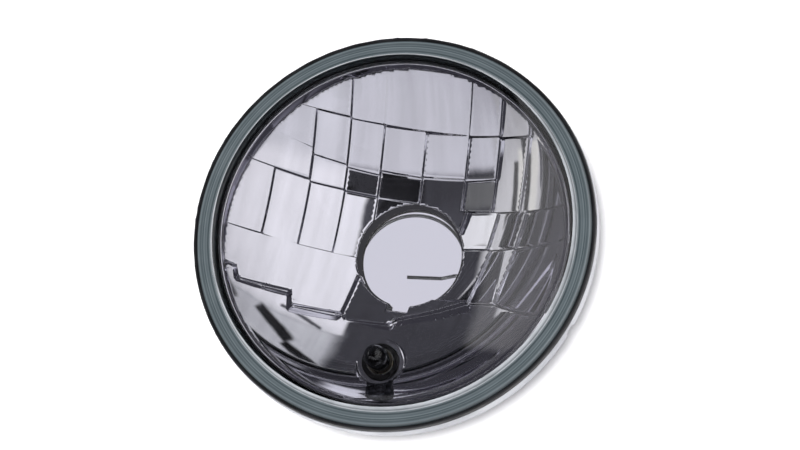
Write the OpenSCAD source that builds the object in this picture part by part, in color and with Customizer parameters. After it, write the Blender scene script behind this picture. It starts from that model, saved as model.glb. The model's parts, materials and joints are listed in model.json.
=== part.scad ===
// Round motorcycle headlight insert: clear pressed-glass lens sealed to a facetted mirror reflector,
// with a rear bulb seat, its swinging wire clip, and a parking lamp let into the lower bowl.
// The lens faces -Y, +Z is up as fitted, and the origin is on the optical axis
// at the front face of the reflector's rim.

/* [Rim] */
// Outer radius of the reflector rim, which the headlight shell or trim ring holds
rim_r = 73.5; // [72:0.1:76]
// Depth of the rim skirt behind its front face
rim_depth = 5.6; // [4:0.1:8]
// Thickness of the rim skirt and of the rim's front wall
rim_wall = 1.9; // [1.5:0.1:2.5]
// How far the reflector's mouth lies inside the inner edge of the sealed glass
mouth_step = 1; // [0.8:0.1:2]
// Bevel at the front edge of the mouth
mouth_bevel = 0.7; // [0.3:0.1:0.8]
// Thickness of the wall round the mouth
barrel_wall = 2.8; // [2:0.1:3.2]
// Width of the locating notch in the skirt
notch_w = 3.2; // [2:0.1:5]
// Angle of the locating notch below the horizontal
notch_angle = 20; // [0:1:60]

/* [Reflector bowl] */
// Depth of the bowl's edge behind the rim face, where it meets the mouth
bowl_edge_y = 6.41; // [5.5:0.01:7.5]
// Focal length of the bowl
bowl_focus = 36; // [34:0.5:38]
// Wall thickness of the bowl
bowl_wall = 2.6; // [2:0.1:3.5]
// Radius of curvature of a facet
facet_r = 110; // [100:1:160]
// Sideways slope added to every facet, which makes the steps between columns
facet_yaw = -0.12; // [-0.16:0.01:-0.04]
// Upward slope added to every facet, which makes the steps between rows
facet_pitch = 0.06; // [0.02:0.01:0.1]
// How far the facets beside the lower ledge stand in front of the bowl
ledge_rise = 1.8; // [1:0.1:2.5]
// How far the smooth lower bowl lies behind the bowl
lower_drop = 1.5; // [0.5:0.1:2.5]
// Radius of the smooth lower bowl
lower_r = 88; // [86:0.5:90]

/* [Bulb seat] */
// Radius of the bulb seat bore
seat_r = 19; // [18.5:0.05:19.5]
// Radius of the bore's front edge
seat_front_r = 19.85; // [19.6:0.05:20.4]
// How far the bore's front edge lies in front of the bowl's vertex
seat_lead = 2.8; // [2:0.1:4.5]
// Length of the flare behind that front edge
seat_flare = 2; // [1:0.1:3]
// Length of the neck behind the bore's front edge
neck_len = 5.8; // [5:0.1:8]
// Outer radius of the neck and of the steel seat ring
neck_r = 28.6; // [28:0.1:31]
// Width of the key notch at the bottom of the bore
key_w = 8.3; // [7:0.1:9]
// Depth of the key notch beyond the bore
key_depth = 3; // [2:0.1:3.5]
// Thickness of the steel seat ring
ring_t = 1.2; // [0.8:0.1:2]
// Radius of the circle of the ring's screws
screw_pcd_r = 25.4; // [25:0.1:26]
// Radius of a screw's thread
screw_r = 1.4; // [1:0.1:1.6]
// Radius of a screw's head
screw_head_r = 2.6; // [2.2:0.1:2.8]
// Height of a screw's head
screw_head_h = 1.8; // [1.4:0.1:2.4]
// Length of a screw under its head
screw_len = 5.2; // [4:0.1:6]

/* [Wire clip] */
// Radius of the clip wire
wire_r = 0.65; // [0.5:0.05:0.8]
// Height of the wire's plane above the seat ring
clip_rise = 5; // [4:0.1:7]
// Radius of the clip's bow
bow_r = 20.3; // [19.8:0.1:20.8]
// Distance of the hinge from the optical axis
hinge_x = 29; // [28:0.1:30]
// Clearance between the wire and its hinge ears
hinge_gap = 0.08; // [0.03:0.01:0.1]
// Length of the wire's hinge stretch
hinge_len = 8; // [7:0.1:10]
// Thickness of a hinge ear
ear_t = 1; // [0.8:0.1:1.4]
// Gap between the catch and the wire's tip
catch_gap = 0.2; // [0.1:0.05:0.4]
// Width of the catch
catch_w = 3.4; // [2.5:0.1:4]
// Reach of the catch's lip over the wire
catch_lip = 2.6; // [2:0.1:3.2]

/* [Lens] */
// How far the sealant bead stands in from the rim's outer edge
bead_inset = 0.6; // [0.55:0.05:0.8]
// Width of the sealant bead round the edge of the glass
bead_w = 0.9; // [0.7:0.05:1.4]
// Height of that bead in front of the rim
bead_h = 1.7; // [1:0.1:2.2]
// Thickness of the sealant under the glass
seal_t = 0.5; // [0.3:0.05:1]
// Width of the glass land that the sealant holds
land_w = 7.4; // [7:0.1:8]
// Thickness of the glass at the flange
flange_t = 2.6; // [2.2:0.1:3.2]
// Width of the flange from the edge of the glass to the step up to the dome
flange_w = 5.1; // [4.6:0.1:5.6]
// Height of the shoulder in front of the flange
shoulder_h = 2.4; // [1.8:0.1:3]
// Height of the dome above its shoulder
dome_h = 8.4; // [6:0.2:12]
// Thickness of the dome
dome_t = 3; // [2.4:0.1:3.6]
// Rounding of the glass edge
edge_round = 1.1; // [0.6:0.1:1.2]
// Rounding at the foot of the step
foot_round = 0.8; // [0.4:0.1:1]
// Rounding at the top of the step
shoulder_round = 1.6; // [1:0.1:2]

/* [Parking lamp] */
// Distance of the parking lamp below the optical axis
pilot_z = 43.2; // [42:0.1:44.5]
// How far its seat face lies in front of the bowl's vertex
pilot_lead = 12.5; // [11.5:0.1:13.5]
// Radius of the raised boss round the grommet
boss_r = 8.9; // [8.6:0.1:9.4]
// Thickness of the boss between the grommet's lips
boss_t = 3.5; // [3:0.1:4]
// Radius of the hole through the boss
boss_hole_r = 6; // [5.8:0.05:6.2]
// Radius of the grommet's front lip
lip_r = 6.8; // [6.5:0.1:7.2]
// Thickness of the grommet's front lip
lip_t = 1.2; // [0.8:0.1:1.6]
// Radius of the grommet's rear lip
rear_lip_r = 7.3; // [6.8:0.1:7.4]
// Thickness of the grommet's rear lip
rear_lip_t = 2; // [1.5:0.1:2.5]
// Outer radius of the metal lamp socket
socket_r = 5; // [4.9:0.05:5.1]
// Wall of the lamp socket
socket_wall = 0.35; // [0.25:0.05:0.4]
// Length of the lamp socket
socket_len = 17; // [16:0.5:20]
// Radius of the small bulb's metal cap
cap_r = 4.55; // [4.4:0.05:4.6]
// Length of the small bulb's metal cap
cap_len = 9.5; // [9:0.1:10.5]
// Radius of the small bulb's glass
bulb_r = 4.2; // [4:0.05:4.3]
// How far the small bulb stands out of its cap
bulb_len = 13; // [11:0.5:15]
// Thickness of the small bulb's glass
bulb_wall = 0.5; // [0.4:0.05:0.7]
// Width of a terminal blade
blade_w = 4.8; // [4:0.1:5]
// Thickness of a terminal blade
blade_t = 0.8; // [0.5:0.1:1]
// Length of a terminal blade behind the base
blade_len = 9; // [7:0.5:12]

/* [Hidden] */
$fn = 96;
over = 1;
lens_r = rim_r - bead_inset - bead_w;
shoulder_r = lens_r - flange_w;
lens_back_r = lens_r - land_w;
mouth_r = lens_back_r - mouth_step;
bowl_depth = bowl_edge_y + mouth_r * mouth_r / (4 * bowl_focus);
seat_front_y = bowl_depth - seat_lead;
neck_y = seat_front_y + neck_len;
pilot_y = bowl_depth - pilot_lead;
lower_foot = 45;
// Any distance beyond the rim, where the outermost facets' outlines end
outside = rim_r + 4;

// Column lines of the facet pattern, from the left edge to the right
col_l = -52.3;
col_a = -40.3;
col_b = -28.3;
col_c = -16.3;
col_d = -0.6;
col_e = 16;
col_f = 28.2;
col_g = 39.8;
col_h = 42.2;
// Row lines of the facet pattern, from the top down
row_top = 44.6;
row_mid = 20;
row_right = 19.2;
row_five = 5.5;
row_low = -3.9;
row_base = -15.5;

// Corners shared by the slanting facets on the right
band_l = [28.7, row_five];
band_r = [30.2, row_five];
band_top = [30.8, row_right];
fan_l = [35.8, row_five];
fan_r = [col_g, 6];
fan_out = [outside, 9.3];
wedge_out = [outside, 21.5];
wedge_in = [col_h, row_right];
foot_l = [25.5, row_base];
foot_m = [35.5, -15.6];
foot_r = [36.1, -15.7];
foot_out = [outside, -27];
bore_l = [10, row_base];
bite_low = [16, 8];
bite_top = [18.4, row_right];
// Slanting row lines on the left, each given by its outer and inner end
shelf_out = [-outside, 37.5];
shelf_in = [col_a, 31.4];
sill_out = [-outside, 22.8];
sill_in = [col_a, 20.4];
sill_l = [col_l, sill_in.y + (sill_out.y - sill_in.y) * (col_l - col_a) / (sill_out.x - col_a)];
// Slanting edge between the lower left facet and the one below the bore
slant_a = [-17.6, -11.5];

// Ledge line above the smooth lower bowl, from the left edge to the right
ledge_l = [[-outside, -16], [-57, -18.4], [-55, -23], [-38, -22.2], [-36.6, -27.5], [-19.3, -26.5]];
ledge_m = [[-18, -28.4], [-1.5, -27.6], [0, -25.3], [14.5, -20], foot_l];
ledge_r = [foot_m, foot_r, foot_out];

// A facet: its corners, its foot point, how far it stands back, and its extra yaw and pitch
facets = [
    [[[-outside, row_top], [col_b, row_top], [col_b, outside], [-outside, outside]], [-36, 50], 0, 0, 0],
    [[[col_b, row_top], [col_c, row_top], [col_c, outside], [col_b, outside]], [-22, 51], 0.3, 0, 0],
    [[[col_c, row_top], [col_e, row_top], [col_e, outside], [col_c, outside]], [0, 53], -0.4, 0.12, 0],
    [[[col_e, row_top], [col_f, row_top], [col_f, outside], [col_e, outside]], [22, 51], 0, 0, 0],
    [[[col_f, row_top], [col_g, row_top], [col_g, outside], [col_f, outside]], [34, 48], 0.3, 0, 0],
    [[[col_g, row_right], wedge_in, wedge_out, [outside, outside], [col_g, outside]], [49, 31], 0, 0.04, 0],
    [[shelf_out, shelf_in, [col_a, row_top], [-outside, row_top]], [-46, 38], 0, 0, 0],
    [[[col_a, 29.6], [col_b, 28.7], [col_b, row_top], [col_a, row_top]], [-34, 37], 0, 0, 0],
    [[[col_b, 28.2], [col_c, 27.6], [col_c, row_top], [col_b, row_top]], [-22, 36], 0, 0, 0],
    [[[col_c, 29.7], [col_d, 29.1], [col_d, row_top], [col_c, row_top]], [-8, 37], 0, 0, 0],
    [[[col_d, 30], [col_e, 30], [col_e, row_top], [col_d, row_top]], [8, 37], 0, 0, 0],
    [[[col_e, 29.6], [col_f, 30.4], [col_f, row_top], [col_e, row_top]], [22, 37], 0, 0, 0],
    [[[col_f, row_right], [col_g, row_right], [col_g, row_top], [col_f, row_top]], [34, 32], 0.3, 0, 0],
    [[sill_out, sill_in, shelf_in, shelf_out], [-50, 27], 0, 0, 0],
    [[[col_a, row_mid], [col_b, row_mid], [col_b, 28.7], [col_a, 29.6]], [-34, 24.5], 0, 0, 0],
    [[[col_b, row_mid], [col_c, row_mid], [col_c, 27.6], [col_b, 28.2]], [-22, 24], 0, 0, 0],
    [[[col_c, row_mid], [col_d, row_mid], [col_d, 29.1], [col_c, 29.7]], [-8, 25], 0, 0, 0],
    [[[col_d, 8], bite_low, bite_top, [col_e, row_right], [col_e, 30], [col_d, 30]], [8, 25], 0, 0, 0],
    [[[col_e, row_right], [col_f, row_right], [col_f, 30.4], [col_e, 29.6]], [22, 25], 0, 0, 0],
    [[[col_c, 8], [col_d, 8], [col_d, row_mid], [col_c, row_mid]], [-12, 17], 0.3, 0, 0],
    [[[col_b, row_low], [col_c, row_low], [col_c, row_mid], [col_b, row_mid]], [-23, 8], 0, 0, 0],
    [[[col_a, row_low], [col_b, row_low], [col_b, row_mid], [col_a, row_mid]], [-34, 8], 0, 0, 0],
    [[[col_l, row_low], [col_a, row_low], sill_in, sill_l], [-46, 8], 0, 0, 0],
    [[[-outside, row_low], [col_l, row_low], sill_l, sill_out], [-57, 8], 0, 0, 0],
    [[[14, row_five], band_l, band_top, bite_top, bite_low], [24, 12], 0, 0, 0],
    [[band_l, band_r, fan_l, fan_r, wedge_in, band_top], [35, 12.5], 0, 0, 0],
    [[fan_r, fan_out, wedge_out, wedge_in], [51, 13], 0, 0.04, 0],
    [[[bore_l.x, row_five], [14, row_five], band_l, band_r, foot_l, bore_l], [24, -3], 0, 0, 0],
    [[band_r, fan_l, foot_m, foot_l], [32, -5], 0, 0, 0],
    [[fan_l, fan_r, foot_r, foot_m], [37, 0], 0, 0.1, 0],
    [[fan_r, fan_out, foot_out, foot_r], [50, -5], 0, 0.04, 0],
    [concat(ledge_l, [slant_a, [col_c, row_low], [-outside, row_low]]), [-38, -14], -ledge_rise, 0.06, 0],
    [concat([ledge_l[5]], ledge_m, [bore_l, [bore_l.x, row_low], [col_c, row_low], slant_a]),
        [-2, -23], -ledge_rise, 0, 0]
];

// Bowl surface and its back
function bowl(x, z) = bowl_depth - (x * x + z * z) / (4 * bowl_focus);
function bowl_back(r) = bowl(r, 0) + bowl_wall * sqrt(1 + pow(r / (2 * bowl_focus), 2));
function unit(v) = v / norm(v);
// Front-facing normal of a facet at its foot point
function facet_normal(f) = unit([
    -f[1].x / (2 * bowl_focus) + facet_yaw + f[3],
    -1,
    -f[1].y / (2 * bowl_focus) + facet_pitch + f[4]
]);
function facet_centre(f) = [f[1].x, bowl(f[1].x, f[1].y) + f[2], f[1].y] + facet_r * facet_normal(f);
function arc(c, r, a0, a1, n) = [for (i = [0:n]) let (a = a0 + (a1 - a0) * i / n) c + r * [cos(a), sin(a)]];

// Reflector body
barrel_r = mouth_r + barrel_wall;
lower_y = bowl(0, lower_foot) - sqrt(lower_r * lower_r - lower_foot * lower_foot) + lower_drop;
lower_wall_z = -14;
boss_wall = 2;
boss_lip = 0.2;
rear_lip_gap = 0.3;
boss_end = pilot_y + boss_t + rear_lip_t;
back_steps = 18;

// Glass and sealant
lens_back_y = -seal_t;
flange_y = lens_back_y - flange_t;
dome_edge_y = flange_y - shoulder_h;
dome_edge_r = shoulder_r - shoulder_round;
dome_r = (dome_edge_r * dome_edge_r + dome_h * dome_h) / (2 * dome_h);
dome_cy = dome_edge_y - dome_h + dome_r;
dome_angle = asin(dome_edge_r / dome_r);
dome_inner_r = dome_r - dome_t;
dome_inner_edge = 1.4;
step_wall_r = dome_edge_r + shoulder_round * (1 - sin(dome_angle));
bead_bevel = 0.4;

// Seat ring, its ears and catch, and the screws
seat_y = neck_y + ring_t;
clip_y = seat_y + clip_rise;
screw_gap = 0.05;
screw_room = 0.6;
screw_top = 0.6;
slot_w = 0.7;
slot_l = 3;
tongue_x = 20;
tongue_edge = 2.4;
ear_w = 4;
ear_inset = 1.2;
catch_foot = 9;
catch_rise = 2.2;
catch_over = 0.35;

// Parking lamp, from its front face back
socket_y = pilot_y - lip_t;
socket_end = socket_y + socket_len;
lip_round = 0.4;
rear_lip_bevel = [0.8, 0.5];
cap_y = socket_y + 0.8;
cap_end = cap_y + cap_len;
cap_bevel = 0.8;
cap_socket = 2;
pin_y = cap_end - 2.3;
pin_r = 0.9;
pin_len = 1.15;
pin_sink = 0.3;
slot_half = pin_r + 0.2;
slot_hook = 2.5;
tip_r = 1.9;
tip_sink = 1;
disc_y = cap_end + 1.6;
disc_t = 0.9;
part_gap = 0.05;
plunger_r = 0.9;
plunger_t = 0.7;
base_y = socket_end - 2.4;
base_cap_r = socket_r + 0.6;
base_cap_h = 2.6;
base_bevel = [1, 0.8];
spring_r = 3;
spring_wire_r = 0.22;
spring_turns = 2;
earth_foot = 6;
earth_drop = 1.2;

// Small bulb
bulb_tip_y = cap_y - bulb_len;
stem_top = 3.6;
stem_tip_r = 0.9;
stem_r = 1.1;
stem_foot = 0.6;
lead_x = 1.6;
lead_r = 0.18;
fil_y = cap_y - 6.5;
fil_sag = 0.45;
coil_r = 0.25;
coil_turns = 6;
coil_wire_r = 0.07;

// Places in the clip's plane, as [x, z]
hinge_z0 = -0.9;
hinge_z1 = hinge_z0 + hinge_len;
bow_c = [-1.2, -1.2];
tip_z = -5;
bend_r = 1.1;
neck_bend_r = 1.5;
bend_swell = 0.02;
wire_lap = 0.1;
bow_lap = 0.25;
// where the straight wire from the hinge meets the bend that leads into the bow
neck_rise = hinge_z1 + neck_bend_r - bow_c.y;
neck_bend = [bow_c.x + sqrt(pow(bow_r + neck_bend_r, 2) - pow(neck_rise, 2)), hinge_z1];
bow_start = atan2(neck_rise, neck_bend.x - bow_c.x);
tail_bend_r = bow_c.y - tip_z;
tail_x = bow_c.x - bow_r - tail_bend_r;
catch_x0 = -hinge_x - 2;
catch_z1 = tip_z - wire_r - catch_gap;
catch_z0 = catch_z1 - catch_lip;
clip_stub = [[-2.3, -5.1], [10.6, -3.7], [15.5, -1.9], [hinge_x, hinge_z0]];
clip_tail = [catch_x0 + 0.4, tip_z];

// Turns a shape built along +Z so that it runs along +Y
module along() rotate([-90, 0, 0]) children();
module rod(r, y0, y1) translate([0, y0, 0]) along() cylinder(h = y1 - y0, r = r);
module prism(points, y0, y1) translate([0, y1, 0]) rotate([90, 0, 0]) linear_extrude(y1 - y0) polygon(points);
module at_pilot() translate([0, 0, -pilot_z]) children();
module turned(points) along() rotate_extrude() polygon(points);

// What a facet removes: its outline cut by a sphere that touches the bowl at the foot point
module facet_void(f) intersection() {
    prism(f[0], -over, neck_y);
    translate(facet_centre(f)) sphere(r = facet_r, $fn = 160);
}

module lower_void() intersection() {
    prism(concat(ledge_l, ledge_m, ledge_r, [[outside, -outside], [-outside, -outside]]), -over, neck_y);
    translate([0, lower_y, 0]) sphere(r = lower_r, $fn = 160);
}

module reflector_body() {
    turned(concat(
        [[0, 0], [rim_r, 0], [rim_r, rim_depth], [rim_r - rim_wall, rim_depth], [rim_r - rim_wall, rim_wall],
            [barrel_r, rim_wall]],
        [for (i = [0:back_steps])
            let (r = barrel_r + (neck_r - barrel_r) * i / back_steps) [r, bowl_back(r)]],
        [[neck_r, neck_y], [0, neck_y]]));
    // wall behind the smooth lower bowl
    intersection() {
        prism([[-barrel_r, lower_wall_z], [barrel_r, lower_wall_z], [barrel_r, -barrel_r],
            [-barrel_r, -barrel_r]], 0, neck_y);
        rod(barrel_r, 0, neck_y);
        translate([0, lower_y, 0]) sphere(r = lower_r + bowl_wall, $fn = 160);
    }
    at_pilot() rod(boss_r + boss_wall, bowl(0, pilot_z + boss_r), boss_end);
}

module reflector() color([0.86, 0.86, 0.9]) difference() {
    union() {
        difference() {
            reflector_body();
            intersection() {
                rod(mouth_r, -over, neck_y);
                union() {
                    for (f = facets) facet_void(f);
                    lower_void();
                }
            }
        }
        at_pilot() rod(boss_r, pilot_y, boss_end);
    }
    // bevel at the mouth
    turned([[0, -over], [mouth_r + mouth_bevel + over, -over], [mouth_r, mouth_bevel], [0, mouth_bevel]]);
    // bulb bore with its flared front edge and the key notch
    rod(seat_r, 0, neck_y + over);
    turned([[0, 0], [seat_front_r, 0], [seat_front_r, seat_front_y], [seat_r, seat_front_y + seat_flare],
        [0, seat_front_y + seat_flare]]);
    key_cut(0, neck_y + over);
    screw_places() rod(screw_r + screw_gap, seat_y - screw_len - screw_room, neck_y + over);
    // pocket, hole and rear recess for the parking lamp
    at_pilot() {
        rod(boss_r - boss_lip, 0, pilot_y);
        rod(boss_hole_r, pilot_y - over, neck_y);
        rod(rear_lip_r + rear_lip_gap, pilot_y + boss_t, neck_y + over);
    }
    // locating notch in the skirt
    rotate([0, notch_angle, 0]) translate([rim_r - rim_wall - over, rim_depth / 2, -notch_w / 2])
        cube([rim_wall + 2 * over, rim_depth, notch_w]);
}

module key_cut(y0, y1) translate([-key_w / 2, y0, -seat_r - key_depth]) cube([key_w, y1 - y0, seat_r]);

module screw_places() for (a = [90, 210, 330])
    translate([screw_pcd_r * cos(a), 0, screw_pcd_r * sin(a)]) children();

// Steel ring on the neck, with the bulb bore, the hinge ears and the catch
module seat_ring() color([0.72, 0.73, 0.75]) difference() {
    union() {
        rod(neck_r, neck_y, seat_y);
        translate([tongue_x, neck_y, hinge_z0 - ear_t])
            cube([hinge_x + tongue_edge - tongue_x, ring_t, hinge_len]);
        for (z = [hinge_z0 + ear_inset, hinge_z1 - ear_inset - ear_t]) hinge_ear(z);
        translate([catch_x0, neck_y, catch_z0]) cube([catch_w, ring_t, catch_foot]);
        translate([catch_x0, neck_y, catch_z0]) cube([catch_w, clip_rise + ring_t + catch_rise, ear_t]);
        translate([catch_x0, clip_y + wire_r + catch_over, catch_z0]) cube([catch_w, ear_t, catch_lip]);
    }
    rod(seat_r, neck_y - over, seat_y + over);
    key_cut(neck_y - over, seat_y + over);
    screw_places() rod(screw_r + screw_gap, neck_y - over, seat_y + over);
    translate([hinge_x, clip_y, hinge_z0]) cylinder(h = hinge_len, r = wire_r + hinge_gap);
}

module hinge_ear(z) translate([0, 0, z]) {
    translate([hinge_x - ear_w / 2, neck_y + ring_t / 2, 0]) cube([ear_w, clip_rise + ring_t / 2, ear_t]);
    translate([hinge_x, clip_y, 0]) cylinder(h = ear_t, r = ear_w / 2);
}

module ring_screws() color([0.62, 0.62, 0.64]) screw_places() difference() {
    union() {
        rod(screw_r, seat_y - screw_len, seat_y);
        turned([[0, seat_y], [screw_head_r, seat_y], [screw_head_r, seat_y + screw_head_h / 2],
            [screw_head_r * screw_top, seat_y + screw_head_h], [0, seat_y + screw_head_h]]);
    }
    for (a = [0, 90]) rotate([0, a, 0])
        translate([-slot_l / 2, seat_y + screw_head_h / 2, -slot_w / 2]) cube([slot_l, screw_head_h, slot_w]);
}

// One straight length of wire in the clip's plane, which runs a little way into the bend at each end
module wire(a, b) {
    d = b - a;
    start = a - wire_lap * unit(d);
    translate([start.x, clip_y, start.y]) rotate([0, 90 - atan2(d.y, d.x), 0])
        cylinder(h = norm(d) + 2 * wire_lap, r = wire_r, $fn = 32);
}
// An arc of wire in that plane, round centre c from angle a0 to a1
module wire_arc(c, r, a0, a1, thick) translate([c.x, clip_y, c.y]) rotate([90, 0, 0]) rotate([0, 0, a0])
    rotate_extrude(angle = a1 - a0) translate([r, 0]) circle(r = thick, $fn = 32);
// A bend, where the wire swells slightly
module wire_bend(c, r, a0, a1) wire_arc(c, r, a0, a1, wire_r + bend_swell);

// Wire along a path with a round bend at each corner
module bent_wire(path) {
    n = len(path) - 1;
    turns = [for (i = [1:n - 1]) let (
        a = unit(path[i - 1] - path[i]), b = unit(path[i + 1] - path[i]), half = acos(a * b) / 2,
        c = path[i] + unit(a + b) * bend_r / sin(half), from_a = path[i] + a * bend_r / tan(half) - c,
        from_b = path[i] + b * bend_r / tan(half) - c, left = from_a.x * from_b.y > from_a.y * from_b.x,
        first = left ? from_a : from_b) [c, atan2(first.y, first.x), 180 - 2 * half, c + from_a, c + from_b]];
    ends = concat([path[0]], [for (t = turns) each [t[3], t[4]]], [path[n]]);
    for (i = [0:n - 1]) wire(ends[2 * i], ends[2 * i + 1]);
    for (t = turns) wire_bend(t[0], bend_r, t[1], t[1] + t[2]);
}

module bulb_clip() color([0.66, 0.67, 0.7]) {
    bent_wire(concat(clip_stub, [[hinge_x, hinge_z1], neck_bend]));
    wire_bend(neck_bend + [0, neck_bend_r], neck_bend_r, 180 + bow_start, 270);
    wire_arc(bow_c, bow_r, bow_start - bow_lap, 180 + bow_lap, wire_r);
    wire_bend([tail_x, bow_c.y], tail_bend_r, 270, 360);
    wire([tail_x, tip_z], clip_tail);
}

// Pressed glass: flat flange, rounded step and shallow dome
module lens() color([0.8, 0.88, 0.9, 0.35]) turned(concat(
    [[lens_back_r, lens_back_y], [lens_r, lens_back_y]],
    arc([lens_r - edge_round, flange_y + edge_round], edge_round, 0, -90, 6),
    arc([step_wall_r + foot_round, flange_y - foot_round], foot_round, 90, 180, 6),
    arc([step_wall_r - shoulder_round, dome_edge_y + shoulder_round * cos(dome_angle)], shoulder_round,
        0, dome_angle - 90, 6),
    [for (i = [1:12]) let (a = dome_angle * (1 - i / 12)) [dome_r * sin(a), dome_cy - dome_r * cos(a)]],
    [for (i = [0:12]) let (a = asin((lens_back_r - dome_inner_edge) / dome_inner_r) * i / 12)
        [dome_inner_r * sin(a), dome_cy - dome_inner_r * cos(a)]]));

// Black sealant: a thin layer under the flange and the bead squeezed out round it
module lens_sealant() color([0.05, 0.05, 0.05]) {
    bead_r = lens_r + bead_w;
    turned([[lens_back_r, 0], [bead_r, 0], [bead_r, bead_bevel - bead_h], [bead_r - bead_bevel, -bead_h],
        [lens_r, -bead_h], [lens_r, lens_back_y], [lens_back_r, lens_back_y]]);
}

module pilot_grommet() color([0.12, 0.12, 0.12]) at_pilot() turned([
    [socket_r, socket_y], [lip_r - lip_round, socket_y], [lip_r, socket_y + lip_round], [lip_r, pilot_y],
    [boss_hole_r, pilot_y], [boss_hole_r, pilot_y + boss_t], [rear_lip_r, pilot_y + boss_t],
    [rear_lip_r, boss_end - rear_lip_bevel.y], [rear_lip_r - rear_lip_bevel.x, boss_end], [socket_r, boss_end]
]);

// Thin metal tube with a pair of hooked slots for the bulb's pins
module pilot_socket() color([0.75, 0.74, 0.7]) at_pilot() difference() {
    rod(socket_r, socket_y, socket_end);
    rod(socket_r - socket_wall, socket_y - over, socket_end + over);
    for (a = [0, 180]) rotate([0, a, 0]) {
        translate([socket_r - over, socket_y - over, -slot_half])
            cube([2 * over, pin_y + slot_half - socket_y + over, 2 * slot_half]);
        translate([socket_r - over, pin_y - slot_half, -slot_half])
            cube([2 * over, 2 * slot_half, slot_half + slot_hook]);
    }
}

// Plastic base that closes the socket's rear and carries the live blade
module pilot_base() color([0.1, 0.1, 0.11]) at_pilot() difference() {
    plug_r = socket_r - socket_wall;
    turned([[0, base_y], [plug_r, base_y], [plug_r, socket_end], [base_cap_r, socket_end],
        [base_cap_r, socket_end + base_cap_h - base_bevel.y],
        [base_cap_r - base_bevel.x, socket_end + base_cap_h], [0, socket_end + base_cap_h]]);
    translate([-blade_w / 2, base_y - over, -blade_t / 2])
        cube([blade_w, socket_end + base_cap_h - base_y + 2 * over, blade_t]);
}

module pilot_disc() color([0.45, 0.3, 0.2]) at_pilot() difference() {
    rod(socket_r - socket_wall - part_gap, disc_y, disc_y + disc_t);
    rod(plunger_r + part_gap, disc_y - over, disc_y + disc_t + over);
}

module pilot_plunger() color([0.78, 0.62, 0.3]) at_pilot() {
    rod(tip_r, disc_y - plunger_t, disc_y);
    rod(plunger_r, disc_y, base_y);
}

// A round tube swept along points, with rings square to the path
function square_to(d) = unit(cross(d, abs(d.y) > 0.9 ? [1, 0, 0] : [0, 1, 0]));
module swept(points, r, sides) {
    n = len(points);
    dirs = [for (i = [0:n - 1]) unit(points[min(i + 1, n - 1)] - points[max(i - 1, 0)])];
    rings = [for (i = [0:n - 1]) let (u = square_to(dirs[i]), v = cross(dirs[i], u))
        for (k = [0:sides - 1]) points[i] + r * (cos(360 * k / sides) * u + sin(360 * k / sides) * v)];
    walls = [for (i = [0:n - 2]) for (k = [0:sides - 1])
        let (a = i * sides + k, b = i * sides + (k + 1) % sides)
            each [[a, b, b + sides], [a, b + sides, a + sides]]];
    first = [for (k = [sides - 1:-1:0]) k];
    last = [for (k = [0:sides - 1]) (n - 1) * sides + k];
    polyhedron(rings, concat([first], walls, [last]));
}

module pilot_spring() color([0.7, 0.7, 0.72]) at_pilot() {
    n = spring_turns * 12;
    y0 = disc_y + disc_t + spring_wire_r;
    y1 = base_y - spring_wire_r;
    swept([for (i = [0:n]) let (a = 360 * spring_turns * i / n)
        [spring_r * cos(a), y0 + (y1 - y0) * i / n, spring_r * sin(a)]], spring_wire_r, 8);
}

module pilot_live_blade() color([0.8, 0.74, 0.55]) at_pilot()
    translate([-blade_w / 2, base_y, -blade_t / 2])
        cube([blade_w, socket_end + base_cap_h + blade_len - base_y, blade_t]);

// Earth blade: a foot curved to the socket's side and a flat tail that runs back
module pilot_earth_blade() color([0.8, 0.74, 0.55]) at_pilot() difference() {
    tail_top = -socket_r - earth_drop;
    translate([-blade_w / 2, socket_end - earth_foot, tail_top - blade_t])
        cube([blade_w, earth_foot + base_cap_h + blade_len, blade_t + earth_drop]);
    translate([-blade_w / 2 - over, socket_end, tail_top])
        cube([blade_w + 2 * over, base_cap_h + blade_len + over, earth_drop + over]);
    rod(socket_r, socket_end - earth_foot - over, socket_end + over);
}

module pilot_bulb_glass() color([0.75, 0.75, 0.75, 0.4]) at_pilot() {
    inner = bulb_r - bulb_wall;
    tip_c = bulb_tip_y + bulb_r;
    turned(concat(
        [[inner, cap_y + cap_socket], [bulb_r, cap_y + cap_socket]],
        [for (i = [0:8]) [bulb_r * cos(90 * i / 8), tip_c - bulb_r * sin(90 * i / 8)]],
        [for (i = [0:8]) [inner * sin(90 * i / 8), tip_c - inner * cos(90 * i / 8)]]));
}

// Pressed glass foot inside the small bulb, which the lead wires come out of
module pilot_bulb_stem() color([0.8, 0.82, 0.82, 0.5]) at_pilot() {
    inner = bulb_r - bulb_wall;
    turned([[0, cap_y - stem_top], [stem_tip_r, cap_y - stem_top + (stem_r - stem_tip_r) * 2],
        [stem_r, cap_y - stem_r], [inner, cap_y + stem_foot], [inner, cap_y + cap_socket],
        [0, cap_y + cap_socket]]);
}

module pilot_bulb_cap() color([0.72, 0.66, 0.5]) at_pilot() {
    difference() {
        turned([[0, cap_y], [cap_r, cap_y], [cap_r, cap_end - cap_bevel], [cap_r - cap_bevel, cap_end],
            [0, cap_end]]);
        rod(bulb_r, cap_y - over, cap_y + cap_socket);
        rod(tip_r, cap_end - tip_sink, cap_end + over);
    }
    for (s = [-1, 1]) translate([s * (cap_r - pin_sink), pin_y, 0]) rotate([0, 90 * s, 0])
        cylinder(h = pin_len, r = pin_r, $fn = 32);
}

module pilot_bulb_tip() color([0.7, 0.72, 0.74]) at_pilot()
    turned([[0, cap_end - tip_sink], [tip_r, cap_end - tip_sink], [tip_r, cap_end],
        [tip_r - lip_round, disc_y - plunger_t], [0, disc_y - plunger_t]]);

module pilot_bulb_leads() color([0.6, 0.6, 0.62]) at_pilot() for (s = [-1, 1])
    translate([s * lead_x, fil_y - fil_sag, 0]) along()
        cylinder(h = cap_y - fil_y + fil_sag - stem_foot, r = lead_r, $fn = 24);

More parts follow.
